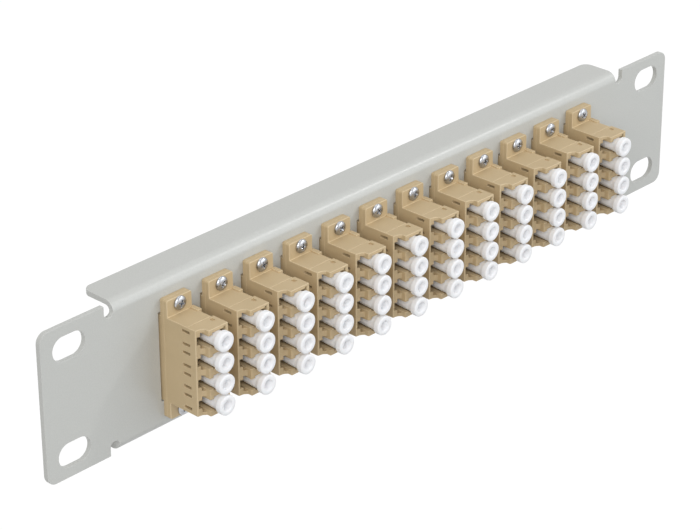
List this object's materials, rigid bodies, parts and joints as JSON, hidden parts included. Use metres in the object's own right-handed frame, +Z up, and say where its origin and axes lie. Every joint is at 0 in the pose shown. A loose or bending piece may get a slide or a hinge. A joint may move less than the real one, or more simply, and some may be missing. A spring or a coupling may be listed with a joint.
{
  "type": "fibre patch panel",
  "caption": "Folded steel one-unit rack panel carrying a row of four-port LC fibre adapters, each port closed by a pull-out dust cap at front and rear.",
  "frame": {"origin": "centre of the plate's front face, level with the middle of the rack slots", "axes": "+X along the panel, +Y to its back, +Z up"},
  "size_m": [0.254, 0.0347, 0.044],
  "materials": {
    "powder_coat": "light grey textured powder coat",
    "adapter_plastic": "beige satin moulded plastic",
    "cap_plastic": "white soft moulded plastic",
    "zinc_plate": "bright zinc plate"
  },
  "bodies": {
    "panel_assembly": {"panel": "powder_coat", "front_housing_01": "adapter_plastic", "rear_housing_01": "adapter_plastic", "front_housing_02": "adapter_plastic", "rear_housing_02": "adapter_plastic", "front_housing_03": "adapter_plastic", "rear_housing_03": "adapter_plastic", "front_housing_04": "adapter_plastic", "rear_housing_04": "adapter_plastic", "front_housing_05": "adapter_plastic", "rear_housing_05": "adapter_plastic", "front_housing_06": "adapter_plastic", "rear_housing_06": "adapter_plastic", "front_housing_07": "adapter_plastic", "rear_housing_07": "adapter_plastic", "front_housing_08": "adapter_plastic", "rear_housing_08": "adapter_plastic", "front_housing_09": "adapter_plastic", "rear_housing_09": "adapter_plastic", "front_housing_10": "adapter_plastic", "rear_housing_10": "adapter_plastic", "front_housing_11": "adapter_plastic", "rear_housing_11": "adapter_plastic", "front_housing_12": "adapter_plastic", "rear_housing_12": "adapter_plastic", "upper_screws": "zinc_plate", "lower_screws": "zinc_plate"},
    "front_caps_01": {"front_caps_01": "cap_plastic"},
    "front_caps_02": {"front_caps_02": "cap_plastic"},
    "front_caps_03": {"front_caps_03": "cap_plastic"},
    "front_caps_04": {"front_caps_04": "cap_plastic"},
    "front_caps_05": {"front_caps_05": "cap_plastic"},
    "front_caps_06": {"front_caps_06": "cap_plastic"},
    "front_caps_07": {"front_caps_07": "cap_plastic"},
    "front_caps_08": {"front_caps_08": "cap_plastic"},
    "front_caps_09": {"front_caps_09": "cap_plastic"},
    "front_caps_10": {"front_caps_10": "cap_plastic"},
    "front_caps_11": {"front_caps_11": "cap_plastic"},
    "front_caps_12": {"front_caps_12": "cap_plastic"},
    "rear_caps_01": {"rear_caps_01": "cap_plastic"},
    "rear_caps_02": {"rear_caps_02": "cap_plastic"},
    "rear_caps_03": {"rear_caps_03": "cap_plastic"},
    "rear_caps_04": {"rear_caps_04": "cap_plastic"},
    "rear_caps_05": {"rear_caps_05": "cap_plastic"},
    "rear_caps_06": {"rear_caps_06": "cap_plastic"},
    "rear_caps_07": {"rear_caps_07": "cap_plastic"},
    "rear_caps_08": {"rear_caps_08": "cap_plastic"},
    "rear_caps_09": {"rear_caps_09": "cap_plastic"},
    "rear_caps_10": {"rear_caps_10": "cap_plastic"},
    "rear_caps_11": {"rear_caps_11": "cap_plastic"},
    "rear_caps_12": {"rear_caps_12": "cap_plastic"}
  },
  "joints": [
    {"name": "front_caps_01_pull", "type": "slide", "parent": "panel_assembly", "child": "front_caps_01", "axis": [0, -1, 0], "range_m": [0, 0.012]},
    {"name": "front_caps_02_pull", "type": "slide", "parent": "panel_assembly", "child": "front_caps_02", "axis": [0, -1, 0], "range_m": [0, 0.012]},
    {"name": "front_caps_03_pull", "type": "slide", "parent": "panel_assembly", "child": "front_caps_03", "axis": [0, -1, 0], "range_m": [0, 0.012]},
    {"name": "front_caps_04_pull", "type": "slide", "parent": "panel_assembly", "child": "front_caps_04", "axis": [0, -1, 0], "range_m": [0, 0.012]},
    {"name": "front_caps_05_pull", "type": "slide", "parent": "panel_assembly", "child": "front_caps_05", "axis": [0, -1, 0], "range_m": [0, 0.012]},
    {"name": "front_caps_06_pull", "type": "slide", "parent": "panel_assembly", "child": "front_caps_06", "axis": [0, -1, 0], "range_m": [0, 0.012]},
    {"name": "front_caps_07_pull", "type": "slide", "parent": "panel_assembly", "child": "front_caps_07", "axis": [0, -1, 0], "range_m": [0, 0.012]},
    {"name": "front_caps_08_pull", "type": "slide", "parent": "panel_assembly", "child": "front_caps_08", "axis": [0, -1, 0], "range_m": [0, 0.012]},
    {"name": "front_caps_09_pull", "type": "slide", "parent": "panel_assembly", "child": "front_caps_09", "axis": [0, -1, 0], "range_m": [0, 0.012]},
    {"name": "front_caps_10_pull", "type": "slide", "parent": "panel_assembly", "child": "front_caps_10", "axis": [0, -1, 0], "range_m": [0, 0.012]},
    {"name": "front_caps_11_pull", "type": "slide", "parent": "panel_assembly", "child": "front_caps_11", "axis": [0, -1, 0], "range_m": [0, 0.012]},
    {"name": "front_caps_12_pull", "type": "slide", "parent": "panel_assembly", "child": "front_caps_12", "axis": [0, -1, 0], "range_m": [0, 0.012]},
    {"name": "rear_caps_01_pull", "type": "slide", "parent": "panel_assembly", "child": "rear_caps_01", "axis": [0, 1, 0], "range_m": [0, 0.012]},
    {"name": "rear_caps_02_pull", "type": "slide", "parent": "panel_assembly", "child": "rear_caps_02", "axis": [0, 1, 0], "range_m": [0, 0.012]},
    {"name": "rear_caps_03_pull", "type": "slide", "parent": "panel_assembly", "child": "rear_caps_03", "axis": [0, 1, 0], "range_m": [0, 0.012]},
    {"name": "rear_caps_04_pull", "type": "slide", "parent": "panel_assembly", "child": "rear_caps_04", "axis": [0, 1, 0], "range_m": [0, 0.012]},
    {"name": "rear_caps_05_pull", "type": "slide", "parent": "panel_assembly", "child": "rear_caps_05", "axis": [0, 1, 0], "range_m": [0, 0.012]},
    {"name": "rear_caps_06_pull", "type": "slide", "parent": "panel_assembly", "child": "rear_caps_06", "axis": [0, 1, 0], "range_m": [0, 0.012]},
    {"name": "rear_caps_07_pull", "type": "slide", "parent": "panel_assembly", "child": "rear_caps_07", "axis": [0, 1, 0], "range_m": [0, 0.012]},
    {"name": "rear_caps_08_pull", "type": "slide", "parent": "panel_assembly", "child": "rear_caps_08", "axis": [0, 1, 0], "range_m": [0, 0.012]},
    {"name": "rear_caps_09_pull", "type": "slide", "parent": "panel_assembly", "child": "rear_caps_09", "axis": [0, 1, 0], "range_m": [0, 0.012]},
    {"name": "rear_caps_10_pull", "type": "slide", "parent": "panel_assembly", "child": "rear_caps_10", "axis": [0, 1, 0], "range_m": [0, 0.012]},
    {"name": "rear_caps_11_pull", "type": "slide", "parent": "panel_assembly", "child": "rear_caps_11", "axis": [0, 1, 0], "range_m": [0, 0.012]},
    {"name": "rear_caps_12_pull", "type": "slide", "parent": "panel_assembly", "child": "rear_caps_12", "axis": [0, 1, 0], "range_m": [0, 0.012]}
  ]
}
